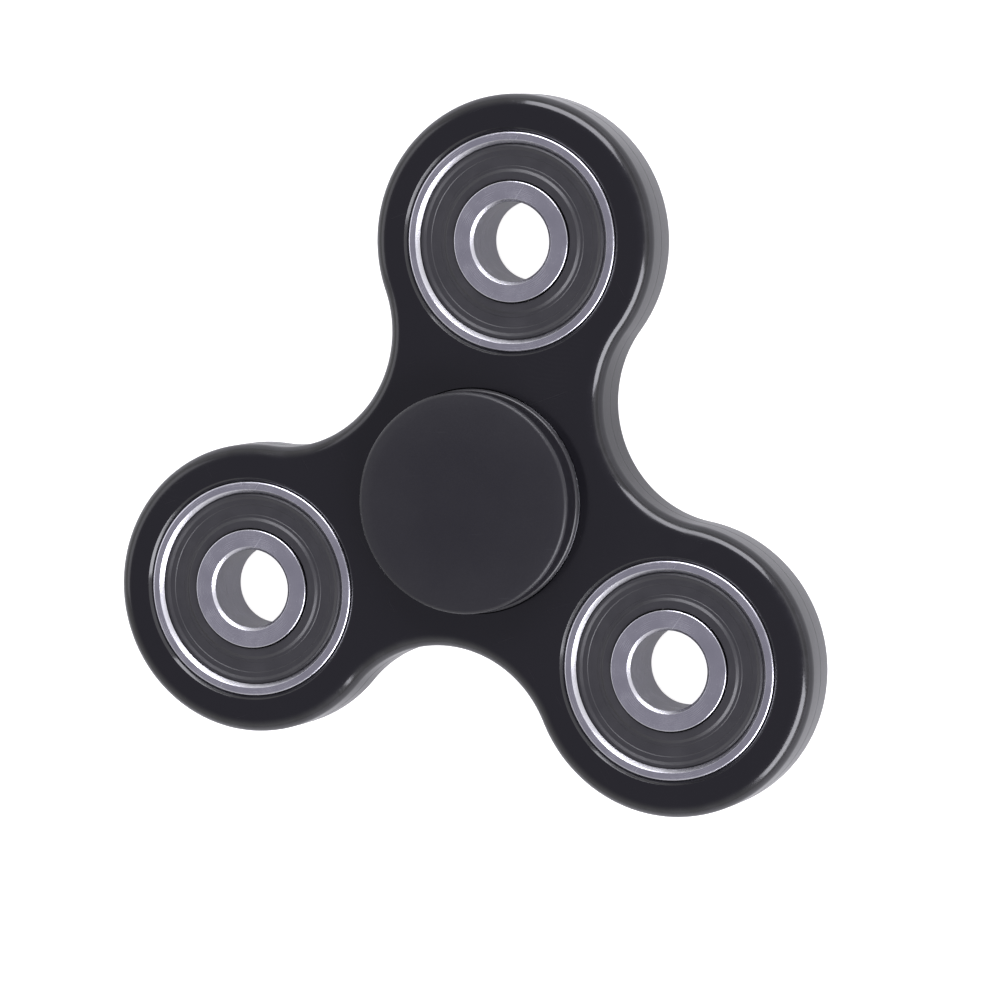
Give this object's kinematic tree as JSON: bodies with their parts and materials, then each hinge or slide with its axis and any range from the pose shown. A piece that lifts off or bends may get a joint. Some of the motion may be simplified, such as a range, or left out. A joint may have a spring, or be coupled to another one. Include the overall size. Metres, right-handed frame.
{
  "type": "fidget spinner",
  "caption": "Hand-held spinner: rounded black lobed body on a centre ball bearing between two round finger caps, with an open ball bearing in each lobe.",
  "frame": {"origin": "on the spin axis, half way through the body's thickness", "axes": "+Z along the spin axis towards the upper finger cap; +Y towards lobe 1; +X to the right, seen from above with lobe 1 up"},
  "size_m": [0.0748, 0.0687, 0.014],
  "materials": {
    "body_shell": "glossy moulded black ABS",
    "cap_plastic": "fine satin moulded black",
    "ring_steel": "ground bearing steel",
    "ball_steel": "polished bearing steel",
    "cage_steel": "pressed mild steel",
    "rivet_steel": "pressed mild steel",
    "seal_rubber": "satin nitrile rubber",
    "shield_steel": "pressed bright steel"
  },
  "bodies": {
    "hub": {"upper_finger_cap": "cap_plastic", "lower_finger_cap": "cap_plastic", "centre_inner_ring": "ring_steel"},
    "rotor": {"body_frame": "body_shell", "centre_outer_ring": "ring_steel", "centre_upper_shield": "shield_steel", "centre_lower_shield": "shield_steel", "lobe_1_outer_ring": "ring_steel", "lobe_1_upper_seal": "seal_rubber", "lobe_1_lower_seal": "seal_rubber", "lobe_2_outer_ring": "ring_steel", "lobe_2_upper_seal": "seal_rubber", "lobe_2_lower_seal": "seal_rubber", "lobe_3_outer_ring": "ring_steel", "lobe_3_upper_seal": "seal_rubber", "lobe_3_lower_seal": "seal_rubber"},
    "centre_cage": {"centre_cage_upper_half": "cage_steel", "centre_cage_lower_half": "cage_steel", "centre_cage_rivets": "rivet_steel", "centre_balls": "ball_steel"},
    "lobe_1_inner": {"lobe_1_inner_ring": "ring_steel"},
    "lobe_1_cage": {"lobe_1_cage_upper_half": "cage_steel", "lobe_1_cage_lower_half": "cage_steel", "lobe_1_cage_rivets": "rivet_steel", "lobe_1_balls": "ball_steel"},
    "lobe_2_inner": {"lobe_2_inner_ring": "ring_steel"},
    "lobe_2_cage": {"lobe_2_cage_upper_half": "cage_steel", "lobe_2_cage_lower_half": "cage_steel", "lobe_2_cage_rivets": "rivet_steel", "lobe_2_balls": "ball_steel"},
    "lobe_3_inner": {"lobe_3_inner_ring": "ring_steel"},
    "lobe_3_cage": {"lobe_3_cage_upper_half": "cage_steel", "lobe_3_cage_lower_half": "cage_steel", "lobe_3_cage_rivets": "rivet_steel", "lobe_3_balls": "ball_steel"}
  },
  "joints": [
    {"name": "body_spin", "type": "hinge", "parent": "hub", "child": "rotor", "pos_m": [0, 0, 0], "axis": [0, 0, 1], "continuous": true},
    {"name": "centre_cage_spin", "type": "hinge", "parent": "hub", "child": "centre_cage", "pos_m": [0, 0, 0], "axis": [0, 0, 1], "continuous": true},
    {"name": "lobe_1_inner_spin", "type": "hinge", "parent": "rotor", "child": "lobe_1_inner", "pos_m": [0, 0.0262, 0], "axis": [0, 0, 1], "continuous": true},
    {"name": "lobe_1_cage_spin", "type": "hinge", "parent": "rotor", "child": "lobe_1_cage", "pos_m": [0, 0.0262, 0], "axis": [0, 0, 1], "continuous": true},
    {"name": "lobe_2_inner_spin", "type": "hinge", "parent": "rotor", "child": "lobe_2_inner", "pos_m": [-0.02269, -0.0131, 0], "axis": [0, 0, 1], "continuous": true},
    {"name": "lobe_2_cage_spin", "type": "hinge", "parent": "rotor", "child": "lobe_2_cage", "pos_m": [-0.02269, -0.0131, 0], "axis": [0, 0, 1], "continuous": true},
    {"name": "lobe_3_inner_spin", "type": "hinge", "parent": "rotor", "child": "lobe_3_inner", "pos_m": [0.02269, -0.0131, 0], "axis": [0, 0, 1], "continuous": true},
    {"name": "lobe_3_cage_spin", "type": "hinge", "parent": "rotor", "child": "lobe_3_cage", "pos_m": [0.02269, -0.0131, 0], "axis": [0, 0, 1], "continuous": true}
  ],
  "couplings": [
    {"joint": "centre_cage_spin", "follows": "body_spin", "ratio": 0.6323},
    {"joint": "lobe_1_cage_spin", "follows": "lobe_1_inner_spin", "ratio": 0.3677},
    {"joint": "lobe_2_cage_spin", "follows": "lobe_2_inner_spin", "ratio": 0.3677},
    {"joint": "lobe_3_cage_spin", "follows": "lobe_3_inner_spin", "ratio": 0.3677}
  ]
}
